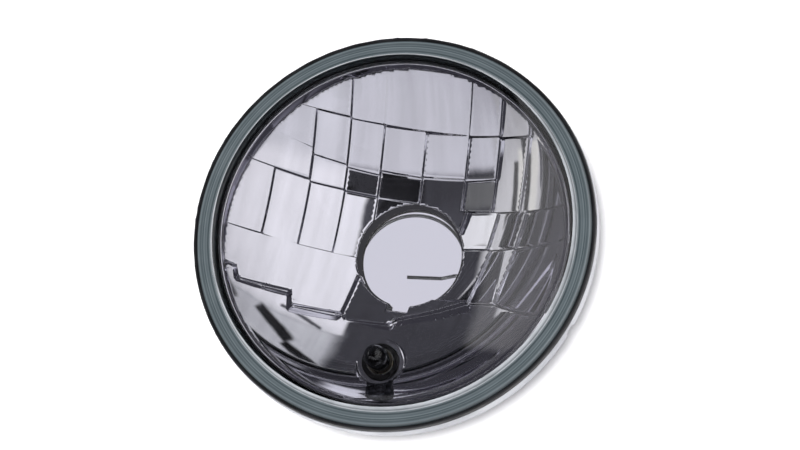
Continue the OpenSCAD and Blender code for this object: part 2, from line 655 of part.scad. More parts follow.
module pilot_bulb_filament() color([0.35, 0.35, 0.36]) at_pilot() {
    n = coil_turns * 8;
    swept([for (i = [0:n]) let (a = 360 * coil_turns * i / n)
        [lead_x * (2 * i / n - 1), fil_y - fil_sag + coil_r * cos(a), coil_r * sin(a)]], coil_wire_r, 6);
}

lens();
lens_sealant();
reflector();
seat_ring();
ring_screws();
bulb_clip();
pilot_grommet();
pilot_socket();
pilot_base();
pilot_disc();
pilot_plunger();
pilot_spring();
pilot_live_blade();
pilot_earth_blade();
pilot_bulb_glass();
pilot_bulb_stem();
pilot_bulb_cap();
pilot_bulb_tip();
pilot_bulb_leads();
pilot_bulb_filament();
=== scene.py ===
import json
import math
import bpy
import bmesh
import numpy as np
from mathutils import Matrix, Vector, geometry


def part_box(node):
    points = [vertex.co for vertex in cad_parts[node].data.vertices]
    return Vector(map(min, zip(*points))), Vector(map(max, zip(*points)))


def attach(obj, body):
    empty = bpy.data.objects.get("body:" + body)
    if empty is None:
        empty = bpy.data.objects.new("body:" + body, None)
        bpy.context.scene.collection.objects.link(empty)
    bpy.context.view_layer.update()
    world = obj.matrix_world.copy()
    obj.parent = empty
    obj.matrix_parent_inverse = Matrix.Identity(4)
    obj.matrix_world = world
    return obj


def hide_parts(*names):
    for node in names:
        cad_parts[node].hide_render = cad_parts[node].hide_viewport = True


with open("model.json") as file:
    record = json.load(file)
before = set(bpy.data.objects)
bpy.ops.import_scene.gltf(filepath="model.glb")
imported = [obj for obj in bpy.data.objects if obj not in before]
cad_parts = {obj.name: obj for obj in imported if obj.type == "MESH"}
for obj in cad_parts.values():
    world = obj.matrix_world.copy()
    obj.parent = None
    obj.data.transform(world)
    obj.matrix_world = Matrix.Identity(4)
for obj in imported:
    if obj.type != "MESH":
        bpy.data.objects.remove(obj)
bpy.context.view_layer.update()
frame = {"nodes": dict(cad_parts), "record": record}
cadNodes = frame["nodes"]
mm = 0.001  # shapes below are worked out in millimetres and put into the meshes in metres
fullTurn = 2 * np.pi


# Mesh tools

# quads of a grid of rings by points, closed round each ring and, if asked, from the last ring
# to the first
def ringQuads(rings, points, closeRings=False):
    i = np.arange(rings if closeRings else rings - 1)[:, None]
    j = np.arange(points)[None, :]
    nextRing = ((i + 1) % rings) * points
    nextPoint = (j + 1) % points
    corners = i * points + j, nextRing + j, nextRing + nextPoint, i * points + nextPoint
    return np.stack(np.broadcast_arrays(*corners), -1).reshape(-1, 4)


# a new piece from points in millimetres, riding on one of the two bodies
def addPiece(name, verts, faces, body="insert", sharp=35):
    mesh = bpy.data.meshes.new(name)
    mesh.from_pydata((np.asarray(verts, float) * mm).tolist(), [], [list(map(int, f)) for f in faces])
    obj = bpy.data.objects.new(name, mesh)
    bpy.context.scene.collection.objects.link(obj)
    tidyMesh(obj, sharp=sharp)
    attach(obj, body)
    return obj


# doubles merged, normals turned out, smooth shading that breaks at edges sharper than the given angle
def tidyMesh(obj, outward=True, sharp=35):
    work = bmesh.new()
    work.from_mesh(obj.data)
    bmesh.ops.remove_doubles(work, verts=work.verts, dist=1e-6)
    bmesh.ops.dissolve_degenerate(work, edges=work.edges, dist=1e-7)
    if outward:
        bmesh.ops.recalc_face_normals(work, faces=work.faces)
    work.to_mesh(obj.data)
    work.free()
    obj.data.shade_smooth()
    obj.data.set_sharp_from_angle(angle=math.radians(sharp))


# a closed outline with every corner replaced by an arc of the given radius, whose ends lie back
# from the corner by radius / tan(half the corner angle)
def roundedOutline(points, radii, steps=5):
    p = np.asarray(points, float)
    radii = np.broadcast_to(np.asarray(radii, float), len(p))
    before, after = np.roll(p, 1, 0) - p, np.roll(p, -1, 0) - p
    lenBefore, lenAfter = np.linalg.norm(before, axis=1), np.linalg.norm(after, axis=1)
    before, after = before / lenBefore[:, None], after / lenAfter[:, None]
    half = np.arccos(np.clip((before * after).sum(1), -0.9999, 0.9999)) / 2
    reach = np.minimum(radii / np.tan(half), 0.49 * np.minimum(lenBefore, lenAfter))
    t = np.linspace(0, 1, steps)[None, :, None]
    a, b = (p + before * reach[:, None])[:, None], (p + after * reach[:, None])[:, None]
    # a conic whose middle weight is the sine of the half angle is the true arc
    first, middle, last = (1 - t) ** 2, 2 * t * (1 - t) * np.sin(half)[:, None, None], t ** 2
    rounded = (first * a + middle * p[:, None] + last * b) / (first + middle + last)
    return rounded.reshape(-1, 2)


# a closed outline of (radius, depth) turned round a line along Y through (x, z), or an open one
# that runs from pole to pole: x = radius cos a, z = radius sin a, y = depth
def turned(outline, centre=(0, 0), segments=128, wobble=None, poles=False):
    outline = np.asarray(outline, float)
    a = np.arange(segments) / segments * fullTurn
    r, y = np.broadcast_arrays(outline[:, 0:1], outline[:, 1:2])
    r, y = np.repeat(r, segments, 1), np.repeat(y, segments, 1)
    if wobble is not None:
        r, y = wobble(r, y, a[None, :])
    verts = np.stack([centre[0] + r * np.cos(a), y, centre[1] + r * np.sin(a)], -1).reshape(-1, 3)
    return verts, ringQuads(len(outline), segments, closeRings=not poles)


edgeValues = {"segments": 2, "angle": 40}


# a merged and smoothed copy of a CAD node, with the edges rounded that are sharper than the angle
def dressedCopy(node, newName, body, edge=0.0, sharp=32):
    obj = cadNodes[node].copy()
    obj.data = cadNodes[node].data.copy()
    obj.name = newName
    for key in list(obj.keys()):
        del obj[key]
    obj.parent = None
    bpy.context.scene.collection.objects.link(obj)
    tidyMesh(obj, outward=False, sharp=sharp)
    if edge > 0:
        bevel = obj.modifiers.new("edge", "BEVEL")
        bevel.width = edge * mm
        bevel.segments = edgeValues["segments"]
        bevel.limit_method = "ANGLE"
        bevel.angle_limit = math.radians(edgeValues["angle"])
        bevel.harden_normals = True
    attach(obj, body)
    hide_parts(node)
    return obj


# Sizes that the frame gives

rimBox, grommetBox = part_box("reflector"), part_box("pilot_grommet")
rimR = (rimBox[1].x - rimBox[0].x) / 2 / mm
pilotZ = (grommetBox[0].z + grommetBox[1].z) / 2 / mm
print("frame loaded, rim radius", round(rimR, 2))


# Reflector

reflectorValues = {
    "mouthR": 63.6, "bevel": 0.7, "rimDepth": 5.6, "rimWall": 1.9, "rimEdge": 0.25, "barrelWall": 2.8,
    "bowlDepth": 34.5, "focus": 36.0, "bowlWall": 2.6, "facetR": 110.0, "yaw": -0.12, "pitch": 0.06,
    "ledgeRise": 1.8, "lowerDrop": 1.5, "lowerR": 88.0, "lowerFoot": 45.0,
    "boreR": 19.0, "boreFrontR": 19.85, "boreFrontY": 31.7, "flareFrom": 0.9, "flareTo": 2,
    "neckY": 37.5, "neckR": 28.6, "keyW": 8.3, "keyDepth": 3.0,
    "bossR": 8.8, "bossY": 22.0, "bossHoleR": 6.0, "bossBack": 27.5, "bossWall": 2.1,
    "recessR": 7.6, "recessY": 25.5, "notchW": 3.2, "notchAngle": -20.0, "notchSoft": 0.1,
    "stepZ": -14, "stepBand": 0.4,  # the step in the back, behind the lower bowl
}
# how finely the mirror and the back are meshed: half width of a soft step, spacing of the lattice and
# of the points along a step, distance kept from an opening, cell in which points are merged
meshValues = {
    "edgeBand": 0.26, "gridStep": 1.0, "bandStep": 0.8, "backBand": 0.3, "backGrid": 2.4,
    "keepOff": 0.12, "mergeCell": 0.07, "around": 360, "aroundHole": 72, "aroundBoss": 60,
    "slopeStep": 0.02, "onMirror": 0.003, "offMouth": 0.05, "offHole": 0.02,
}
mv = meshValues
rv = reflectorValues

# corners of the facets, each named once: columns and rows of the grid, then the slanted ones
edgeOut = rimR + 4
colL, colA, colB, colC, colD = -52.3, -40.3, -28.3, -16.3, -0.6
colE, colF, colG, colH = 16, 28.2, 39.8, 42.2
rowTop, rowMid, rowRight, rowFive, rowLow, rowBase = 44.6, 20, 19.2, 5.5, -3.9, -15.5
bandL, bandR, bandTop = (28.7, rowFive), (30.2, rowFive), (30.8, rowRight)
fanL, fanR, fanOut = (35.8, rowFive), (colG, 6), (edgeOut, 9.3)
wedgeOut, wedgeIn = (edgeOut, 21.5), (colH, rowRight)
footL, footM, footR, footOut = (25.5, rowBase), (35.5, -15.6), (36.1, -15.7), (edgeOut, -27)
boreL, biteLow, biteTop = (10, rowBase), (16, 8), (18.4, rowRight)
shelfOut, shelfIn, sillOut, sillIn = (-edgeOut, 37.5), (colA, 31.4), (-edgeOut, 22.8), (colA, 20.4)
sillL = (colL, sillIn[1] + (sillOut[1] - sillIn[1]) * (colL - colA) / (sillOut[0] - colA))
slantA = (-17.6, -11.5)
ledgeLeft = [(-edgeOut, -16), (-57, -18.4), (-55, -23), (-38, -22.2), (-36.6, -27.5), (-19.3, -26.5)]
ledgeMiddle = [(-18, -28.4), (-1.5, -27.6), (0, -25.3), (14.5, -20), footL]
ledgeRight = [footM, footR, footOut]
# outline, foot point, how far it stands back, extra yaw and pitch
facets = [
    ([(-edgeOut, rowTop), (colB, rowTop), (colB, edgeOut), (-edgeOut, edgeOut)], (-36, 50), 0, 0, 0),
    ([(colB, rowTop), (colC, rowTop), (colC, edgeOut), (colB, edgeOut)], (-22, 51), 0.3, 0, 0),
    ([(colC, rowTop), (colE, rowTop), (colE, edgeOut), (colC, edgeOut)], (0, 53), -0.4, 0.12, 0),
    ([(colE, rowTop), (colF, rowTop), (colF, edgeOut), (colE, edgeOut)], (22, 51), 0, 0, 0),
    ([(colF, rowTop), (colG, rowTop), (colG, edgeOut), (colF, edgeOut)], (34, 48), 0.3, 0, 0),
    ([(colG, rowRight), wedgeIn, wedgeOut, (edgeOut, edgeOut), (colG, edgeOut)], (49, 31), 0, 0.04, 0),
    ([shelfOut, shelfIn, (colA, rowTop), (-edgeOut, rowTop)], (-46, 38), 0, 0, 0),
    ([(colA, 29.6), (colB, 28.7), (colB, rowTop), (colA, rowTop)], (-34, 37), 0, 0, 0),
    ([(colB, 28.2), (colC, 27.6), (colC, rowTop), (colB, rowTop)], (-22, 36), 0, 0, 0),
    ([(colC, 29.7), (colD, 29.1), (colD, rowTop), (colC, rowTop)], (-8, 37), 0, 0, 0),
    ([(colD, 30), (colE, 30), (colE, rowTop), (colD, rowTop)], (8, 37), 0, 0, 0),
    ([(colE, 29.6), (colF, 30.4), (colF, rowTop), (colE, rowTop)], (22, 37), 0, 0, 0),
    ([(colF, rowRight), (colG, rowRight), (colG, rowTop), (colF, rowTop)], (34, 32), 0.3, 0, 0),
    ([sillOut, sillIn, shelfIn, shelfOut], (-50, 27), 0, 0, 0),
    ([(colA, rowMid), (colB, rowMid), (colB, 28.7), (colA, 29.6)], (-34, 24.5), 0, 0, 0),
    ([(colB, rowMid), (colC, rowMid), (colC, 27.6), (colB, 28.2)], (-22, 24), 0, 0, 0),
    ([(colC, rowMid), (colD, rowMid), (colD, 29.1), (colC, 29.7)], (-8, 25), 0, 0, 0),
    ([(colD, 8), biteLow, biteTop, (colE, rowRight), (colE, 30), (colD, 30)], (8, 25), 0, 0, 0),
    ([(colE, rowRight), (colF, rowRight), (colF, 30.4), (colE, 29.6)], (22, 25), 0, 0, 0),
    ([(colC, 8), (colD, 8), (colD, rowMid), (colC, rowMid)], (-12, 17), 0.3, 0, 0),
    ([(colB, rowLow), (colC, rowLow), (colC, rowMid), (colB, rowMid)], (-23, 8), 0, 0, 0),
    ([(colA, rowLow), (colB, rowLow), (colB, rowMid), (colA, rowMid)], (-34, 8), 0, 0, 0),
    ([(colL, rowLow), (colA, rowLow), sillIn, sillL], (-46, 8), 0, 0, 0),
    ([(-edgeOut, rowLow), (colL, rowLow), sillL, sillOut], (-57, 8), 0, 0, 0),
    ([(14, rowFive), bandL, bandTop, biteTop, biteLow], (24, 12), 0, 0, 0),
    ([bandL, bandR, fanL, fanR, wedgeIn, bandTop], (35, 12.5), 0, 0, 0),
    ([fanR, fanOut, wedgeOut, wedgeIn], (51, 13), 0, 0.04, 0),
    ([(10, rowFive), (14, rowFive), bandL, bandR, footL, boreL], (24, -3), 0, 0, 0),
    ([bandR, fanL, footM, footL], (32, -5), 0, 0, 0),
    ([fanL, fanR, footR, footM], (37, 0), 0, 0.1, 0),
    ([fanR, fanOut, footOut, footR], (50, -5), 0, 0.04, 0),
    (ledgeLeft + [slantA, (colC, rowLow), (-edgeOut, rowLow)], (-38, -14), -rv["ledgeRise"], 0.06, 0),
    ([ledgeLeft[5]] + ledgeMiddle + [boreL, (10, rowLow), (colC, rowLow), slantA], (-2, -23),
     -rv["ledgeRise"], 0, 0),
]


# depth of the bowl: the vertex depth less r squared over four focal lengths
def bowl(x, z):
    return rv["bowlDepth"] - (x * x + z * z) / (4 * rv["focus"])


# distance to a closed outline, positive inside: the least distance to its edges, signed by crossings
def insideDistance(x, z, outline):
    p = np.asarray(outline, float)
    q = np.roll(p, -1, 0)
    best = np.full(x.shape, 1e9)
    inside = np.zeros(x.shape, bool)
    for a, b in zip(p, q):
        d = b - a
        t = np.clip(((x - a[0]) * d[0] + (z - a[1]) * d[1]) / (d @ d), 0, 1)
        best = np.minimum(best, np.hypot(x - a[0] - t * d[0], z - a[1] - t * d[1]))
        crosses = (a[1] > z) != (b[1] > z)
        slope = d[0] / d[1] if d[1] else 0
        inside ^= crosses & (x < a[0] + slope * (z - a[1]))
    return np.where(inside, best, -best)


# one facet's depth: a sphere whose centre stands one radius along the facet's normal from its foot point
def facetDepth(x, z, foot, setBack, extraYaw, extraPitch):
    n = np.array([-foot[0] / (2 * rv["focus"]) + rv["yaw"] + extraYaw, -1,
                  -foot[1] / (2 * rv["focus"]) + rv["pitch"] + extraPitch])
    c = np.array([foot[0], bowl(*foot) + setBack, foot[1]]) + rv["facetR"] * n / np.linalg.norm(n)
    return c[1] + np.sqrt(np.maximum(rv["facetR"] ** 2 - (x - c[0]) ** 2 - (z - c[2]) ** 2, 1))


# smooth step from 0 to 1 while a distance runs from minus the band to the band
def ramp(d, band):
    t = np.clip(0.5 + d / (2 * band), 0, 1)
    return t * t * (3 - 2 * t)


lowerOutline = ledgeLeft + ledgeMiddle + ledgeRight + [(edgeOut, -edgeOut), (-edgeOut, -edgeOut)]
lowerY = bowl(0, rv["lowerFoot"]) - math.sqrt(rv["lowerR"] ** 2 - rv["lowerFoot"] ** 2) + rv["lowerDrop"]


# depth of the mirror: every facet weighted by a soft step across its own outline, so each wall between
# two facets is a short rounded slope, then the flat face of the parking lamp's boss
def mirrorDepth(x, z):
    total, weight = np.zeros(x.shape), np.full(x.shape, 1e-9)
    for outline, foot, setBack, extraYaw, extraPitch in facets:
        w = ramp(insideDistance(x, z, outline), mv["edgeBand"])
        total += w * facetDepth(x, z, foot, setBack, extraYaw, extraPitch)
        weight += w
    w = ramp(insideDistance(x, z, lowerOutline), mv["edgeBand"])
    total += w * (lowerY + np.sqrt(rv["lowerR"] ** 2 - x * x - z * z))
    weight += w
    boss = ramp(rv["bossR"] - np.hypot(x, z - pilotZ), mv["edgeBand"])
    return (1 - boss) * total / weight + boss * rv["bossY"]


# depth of the back of the bowl: the paraboloid or the lower sphere, moved back by the wall, then
# the flat neck and the boss
def backDepth(x, z):
    r = np.hypot(x, z)
    back = bowl(x, z) + rv["bowlWall"] * np.sqrt(1 + (r / (2 * rv["focus"])) ** 2)
    lower = lowerY + np.sqrt((rv["lowerR"] + rv["bowlWall"]) ** 2 - r * r)
    below = ramp(rv["stepZ"] - z, rv["stepBand"])
    back = np.where(lower > back, back + (lower - back) * below, back)
    neck = ramp(rv["neckR"] - r, mv["backBand"])
    back = (1 - neck) * back + neck * rv["neckY"]
    boss = ramp(rv["bossR"] + rv["bossWall"] - np.hypot(x, z - pilotZ), mv["backBand"])
    return np.where(rv["bossBack"] > back, back + boss * (rv["bossBack"] - back), back)


# the bore's outline: a circle opened at the bottom by the key notch, each point found along its
# own angle
def boreOutline(radius, count=240):
    a = np.arange(count) / count * fullTurn - np.pi / 2 + 1e-4
    c, s = np.cos(a), np.sin(a)
    halfKey, keyEnd = rv["keyW"] / 2, rv["boreR"] + rv["keyDepth"]
    toSide = halfKey / np.maximum(np.abs(c), 1e-9)
    toEnd = keyEnd / np.maximum(-s, 1e-9)
    reach = np.where(s < 0, np.minimum(toSide, toEnd), 0)
    r = np.maximum(radius, reach)
    return np.stack([r * c, r * s], -1)


# a circle's outline: centre plus r times the cosine and the sine of evenly spaced angles
def circleOutline(cx, cz, r, count):
    a = np.arange(count) / count * fullTurn
    return np.stack([cx + r * np.cos(a), cz + r * np.sin(a)], -1)


# points along an outline's edges at a step, moved sideways by an offset
def alongEdges(outline, step, offset):
    p = np.asarray(outline, float)
    q = np.roll(p, -1, 0)
    found = []
    for a, b in zip(p, q):
        length = np.linalg.norm(b - a)
        t = np.linspace(0, 1, max(2, int(length / step)))[:, None]
        side = np.array([-(b - a)[1], (b - a)[0]]) / length
        found.append(a + (b - a) * t + side * offset)
    return np.concatenate(found)


# flat mesh of a disc with holes: a lattice, rows of points along both sides of every step, and the
# rims of its openings, joined into triangles
def planarMesh(holes, outer, bandOutlines, latticeStep, band):
    limit = np.abs(outer).max() + 0.5
    line = np.arange(-limit, limit, latticeStep)
    gx, gz = np.meshgrid(line, line)
    gx = gx + latticeStep / 2 * (np.arange(len(line)) % 2)[:, None]
    lattice = np.stack([gx.ravel(), gz.ravel()], -1)
    offsets = np.array([-1, -0.6, -0.25, 0.25, 0.6, 1]) * band
    rows = np.concatenate([alongEdges(o, mv["bandStep"], s) for o in bandOutlines for s in offsets])
    away = [np.abs(insideDistance(lattice[:, 0], lattice[:, 1], o)) for o in bandOutlines]
    lattice = lattice[np.min(away, axis=0) > band * 1.6]
    inner = np.concatenate([lattice, rows])
    inner = inner[insideDistance(inner[:, 0], inner[:, 1], outer) > mv["keepOff"]]
    for hole in holes:
        inner = inner[insideDistance(inner[:, 0], inner[:, 1], hole) < -mv["keepOff"]]
    cell = np.round(inner / mv["mergeCell"]).astype(int)
    inner = inner[np.unique(cell, axis=0, return_index=True)[1]]
    rims = [outer] + holes
    starts = np.cumsum([0] + [len(r) for r in rims])
    edges = [(int(start + k), int(start + (k + 1) % len(rim)))
             for start, rim in zip(starts, rims) for k in range(len(rim))]
    points = np.concatenate(rims + [inner])
    made = geometry.delaunay_2d_cdt(points.tolist(), edges, [], 0, 1e-6)
    verts = np.array([tuple(v) for v in made[0]])
    faces = np.array(made[2])
    middle = verts[faces].mean(1)
    keep = insideDistance(middle[:, 0], middle[:, 1], outer) > 0
    for hole in holes:
        keep &= insideDistance(middle[:, 0], middle[:, 1], hole) < 0
    return verts, faces[keep]


# strip of quads between closed rows of the same number of points
def stripBetween(rows):
    rows = np.asarray(rows, float)
    return rows.reshape(-1, 3), ringQuads(len(rows), rows.shape[1])


# an outline (x, z) given its depth y
def liftRing(outline, depth):
    return np.stack([outline[:, 0], np.broadcast_to(depth, len(outline)), outline[:, 1]], -1)


# the reflector: the meshed mirror and back, joined by strips at the rim, the bore and the lamp's hole
def makeReflector():
    barrelR = rv["mouthR"] + rv["barrelWall"]
    ring = lambda r: circleOutline(0, 0, r, mv["around"])
    boreFront, bore = boreOutline(rv["boreFrontR"]), boreOutline(rv["boreR"])
    hole, recess = (circleOutline(0, pilotZ, rv[key], mv["aroundHole"])
                    for key in ("bossHoleR", "recessR"))
    boss = lambda r: circleOutline(0, pilotZ, r, mv["aroundBoss"])
    mouth, barrel = ring(rv["mouthR"]), ring(barrelR)
    edges = [facet[0] for facet in facets] + [lowerOutline, boss(rv["bossR"])]
    flat, face = planarMesh([boreFront, hole], mouth, edges, mv["gridStep"], mv["edgeBand"])
    parts = [(liftRing(flat, mirrorDepth(flat[:, 0], flat[:, 1])), face)]
    # the back of the bowl, with the neck, the boss and the step behind the lower bowl
    left, right, stepZ = -edgeOut, edgeOut, rv["stepZ"]
    halfBelow = [(left, stepZ), (right, stepZ), (right, -edgeOut), (left, -edgeOut)]
    edges = [ring(rv["neckR"]), boss(rv["bossR"] + rv["bossWall"]), halfBelow]
    flat, face = planarMesh([bore, recess], barrel, edges, mv["backGrid"], mv["backBand"])
    parts.append((liftRing(flat, backDepth(flat[:, 0], flat[:, 1])), face[:, ::-1]))
    # the mouth's wall, its bevel, the rim's front face, the skirt with its notch, the barrel's outside
    degrees = np.arange(mv["around"]) * 360 / mv["around"]
    aside = np.abs(degrees - 360 - rv["notchAngle"])
    notch = ramp(np.degrees(rv["notchW"] / 2 / rimR) - aside, rv["notchSoft"])
    skirt = rv["rimDepth"] * (1 - notch / 2)
    bevel, wall, edge = rv["bevel"], rv["rimWall"], rv["rimEdge"]
    mouthY = mirrorDepth(mouth[:, 0], mouth[:, 1])
    rows = [liftRing(mouth, mouthY + (bevel - mouthY) * t) for t in np.linspace(0, 1, 7)]
    rows += [liftRing(ring(r), y) for r, y in (
        (rv["mouthR"] + bevel * 0.3, bevel * 0.4), (rv["mouthR"] + bevel, 0),
        (rimR - edge, 0), (rimR - edge * 0.28, edge * 0.28), (rimR, edge),
        (rimR, skirt - edge), (rimR - edge, skirt),
        (rimR - wall + 0.2, skirt), (rimR - wall, skirt - edge),
        (rimR - wall, wall + 0.3), (rimR - wall - 0.3, wall), (barrelR + 0.6, wall),
        (barrelR + 0.1, wall + 0.5), (barrelR, wall + 1.1),
        (barrelR, backDepth(barrel[:, 0], barrel[:, 1])))]
    parts.append(stripBetween(rows))
    # the bore's flared wall, and the parking lamp's hole with the recess for its grommet
    parts.append(stripBetween([
        liftRing(boreFront, mirrorDepth(boreFront[:, 0], boreFront[:, 1])),
        liftRing(boreFront, rv["boreFrontY"] + rv["flareFrom"]),
        liftRing(bore, rv["boreFrontY"] + rv["flareTo"]), liftRing(bore, rv["neckY"])]))
    parts.append(stripBetween([
        liftRing(hole, rv["bossY"]), liftRing(hole, rv["recessY"]),
        liftRing(recess, rv["recessY"]), liftRing(recess, rv["bossBack"])]))
    verts, faces, total = [], [], 0
    for v, f in parts:
        verts.append(v)
        faces += (np.asarray(f) + total).tolist()
        total += len(v)
    obj = addPiece("mirrorReflector", np.concatenate(verts), faces, sharp=40)
    # exact normals on the mirror: the slope of its depth, by the difference over a short step
    co = np.empty(len(obj.data.vertices) * 3)
    obj.data.vertices.foreach_get("co", co)
    x, y, z = co.reshape(-1, 3).T / mm
    step = mv["slopeStep"]
    dx = (mirrorDepth(x + step, z) - mirrorDepth(x - step, z)) / (2 * step)
    dz = (mirrorDepth(x, z + step) - mirrorDepth(x, z - step)) / (2 * step)
    n = np.stack([dx, -np.ones_like(dx), dz], -1)
    n /= np.linalg.norm(n, axis=1)[:, None]
    onMirror = np.abs(y - mirrorDepth(x, z)) < mv["onMirror"]
    onMirror &= np.hypot(x, z) < rv["mouthR"] - mv["offMouth"]
    for opening in (boreFront, hole):
        onMirror &= insideDistance(x, z, opening) < -mv["offHole"]
    n[~onMirror] = 0
    obj.data.normals_split_custom_set_from_vertices(n.tolist())
    return obj


reflector = makeReflector()
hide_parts("reflector")
print("reflector", len(reflector.data.polygons), "faces")


# Lens and sealant

lensValues = {
    "edgeR": 72.0, "backR": 64.6, "backY": -0.5, "flangeY": -3.1, "shoulderY": -5.5,
    "domeH": 8.4, "domeEdgeR": 65.3, "thickness": 3.0, "innerEdge": 1.4,
    "edgeRound": 1.1, "footRound": 0.8, "shoulderRound": 1.6, "segments": 240,
    "flangeFrom": 66.85, "shoulderFrom": 65.5,
}
lv = lensValues
# a lump's width is in radians round the axis, and widthShare is how much of the unevenness in height
# the bead shows in width too
beadValues = {
    "outerR": 73.3, "height": 2.9, "innerR": 64.75, "seatTo": 67.2, "seatY": -0.36, "segments": 720,
    "waves": 0.10, "waveCount": 7, "lumps": 0.22, "lumpCount": 16, "lumpWidth": 0.012, "seed": 7,
    "widthShare": 0.8, "drawIn": 0.05,
}
bv = beadValues


# points of an arc about a centre, between two angles in degrees
def arc(centre, radius, fromAngle, toAngle, steps):
    a = np.radians(np.linspace(fromAngle, toAngle, steps))
    return np.stack([centre[0] + radius * np.cos(a), centre[1] + radius * np.sin(a)], -1)


# the glass, turned: a dome, a rounded step and the flange outside, and a dome one thickness behind
# it inside. The dome's radius is (edge radius squared + height squared) / (2 height)
def makeLens():
    domeR = (lv["domeEdgeR"] ** 2 + lv["domeH"] ** 2) / (2 * lv["domeH"])
    domeY = lv["shoulderY"] - lv["domeH"] + domeR
    angle = math.degrees(math.asin(lv["domeEdgeR"] / domeR))
    fall = math.radians(angle)
    wallR = lv["domeEdgeR"] + lv["shoulderRound"] * (1 - math.sin(fall))
    innerR = domeR - lv["thickness"]
    innerAngle = math.degrees(math.asin((lv["backR"] - lv["innerEdge"]) / innerR))
    corner = lv["edgeR"] - lv["edgeRound"], lv["flangeY"] + lv["edgeRound"]
    foot = wallR + lv["footRound"], lv["flangeY"] - lv["footRound"]
    top = wallR - lv["shoulderRound"], lv["shoulderY"] + lv["shoulderRound"] * math.cos(fall)
    outline = np.concatenate([
        arc((0, domeY), innerR, -90, innerAngle - 90, 26),
        [(lv["backR"], lv["backY"]), (lv["edgeR"] - 0.2, lv["backY"]), (lv["edgeR"], lv["backY"] - 0.2)],
        arc(corner, lv["edgeRound"], 0, -90, 9),
        arc(foot, lv["footRound"], 90, 180, 9), arc(top, lv["shoulderRound"], 0, angle - 90, 10),
        arc((0, domeY), domeR, angle - 90, -90, 26)])
    return addPiece("lensGlass", *turned(outline, segments=lv["segments"], poles=True), sharp=50)


# material slots of the glass: 0 the clear dome, 1 the rounded shoulder, 2 the flange
def lensSlots(r, y):
    shoulder = (r > lv["shoulderFrom"]) & (y < lv["backY"] - 0.2)
    return np.where(r > lv["flangeFrom"], 2, shoulder)


# material slots of the sealant: 1 for the seat that the dome's edge shows, and 0 for the rest
def sealantSlots(r, y):
    return r < bv["seatTo"]


# puts materials on a turned piece, one for each face by its distance from the axis and its depth
def splitTurned(obj, materials, slots):
    obj.data.materials.clear()
    for material in materials:
        obj.data.materials.append(material)
    co = np.empty(len(obj.data.polygons) * 3)
    obj.data.polygons.foreach_get("center", co)
    x, y, z = co.reshape(-1, 3).T / mm
    slot = slots(np.hypot(x, z), y).astype(np.int32)
    obj.data.polygons.foreach_set("material_index", slot)


# the sealant: a thin layer under the flange and a rounded bead round the glass, whose height and
# width follow a few seeded sine waves and short lumps
def makeSealant():
    draw = np.random.default_rng(bv["seed"])
    waves, lumps = bv["waveCount"], bv["lumpCount"]
    phase, count = draw.uniform(0, fullTurn, waves), draw.integers(3, 60, waves)
    lumpAt, lumpSize = draw.uniform(0, fullTurn, lumps), draw.uniform(0.3, 1, lumps)
    inner, outer, top, glass = bv["innerR"], bv["outerR"], -bv["height"], lv["edgeR"]
    seatTo, seatY, backY = bv["seatTo"], bv["seatY"], lv["backY"]
    # over the crest: how far in from the outer radius, and how far behind the bead's front
    crest = [(0.16, 0.35), (0.34, 0.1), (0.55, 0), (0.78, 0.08), (0.98, 0.4)]
    outline = np.array(
        [(inner, 0), (seatTo, 0), (outer, 0), (outer, -1.2), (outer - 0.04, -2.0)]
        + [(outer - aside, top + behind) for aside, behind in crest]
        + [(glass + 0.02, -2.0), (glass + 0.02, backY - 0.2), (glass - 0.3, backY),
           (seatTo + 0.2, backY), (seatTo, seatY), (inner, seatY)])

    def wobble(r, y, a):
        wave = sum(np.sin(count[k] * a + phase[k]) for k in range(waves)) / waves * bv["waves"]
        apart = np.abs((a - lumpAt[:, None] + np.pi) % fullTurn - np.pi)
        lump = (lumpSize[:, None] * np.exp(-(apart / bv["lumpWidth"]) ** 2)).sum(0) * bv["lumps"]
        high = np.clip(-y / bv["height"], 0, 1) ** 2 * (r > glass - 0.3)
        uneven = high * (wave + lump)
        return r + uneven * bv["widthShare"] - high * bv["drawIn"], y - uneven

    return addPiece("sealantBead", *turned(outline, segments=bv["segments"], wobble=wobble), sharp=60)


lens, sealant = makeLens(), makeSealant()
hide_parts("lens")
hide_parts("lens_sealant")
print("lens and sealant", len(lens.data.polygons) + len(sealant.data.polygons), "faces")


# Parking lamp and the parts behind the bowl

pilotValues = {
    "bulbR": 4.2, "bulbWall": 0.5, "bulbTipY": 8.6, "bulbFootY": 22.6, "socketR": 5.0, "socketY": 20.8,
    "lipR": 6.8, "seatY": 22.0, "rearY": 25.5, "rearR": 7.3, "endY": 27.5, "holeR": 6.0,
}
pv = pilotValues


# the small bulb's glass, turned: a straight wall that ends in a half round tip
def makeBulbGlass():
    r, wall, foot = pv["bulbR"], pv["bulbWall"], pv["bulbFootY"]
    centre = (0, pv["bulbTipY"] + r)
    outline = np.concatenate([
        arc(centre, r - wall, -90, 0, 14),
        [(r - wall, foot - 0.3), (r - wall + 0.1, foot), (r - 0.1, foot), (r, foot - 0.3)],
        arc(centre, r, 0, -90, 14)])
    return addPiece("smallBulbGlass", *turned(outline, (0, pilotZ), 64, poles=True), sharp=50)


# the rubber grommet, turned: a lip before the bowl, a waist in its hole and a collar behind
def makeGrommet():
    s, lip, seat, hole = pv["socketR"], pv["lipR"], pv["seatY"], pv["holeR"]
    corners = [(s, pv["socketY"]), (lip, pv["socketY"]), (lip, seat), (hole, seat), (hole, pv["rearY"]),
               (pv["rearR"], pv["rearY"]), (pv["rearR"], pv["endY"]), (s, pv["endY"])]
    outline = roundedOutline(corners, [0.15, 0.45, 0.08, 0.08, 0.08, 0.1, 0.5, 0.15])
    return addPiece("lampGrommet", *turned(outline, (0, pilotZ), 80), sharp=50)


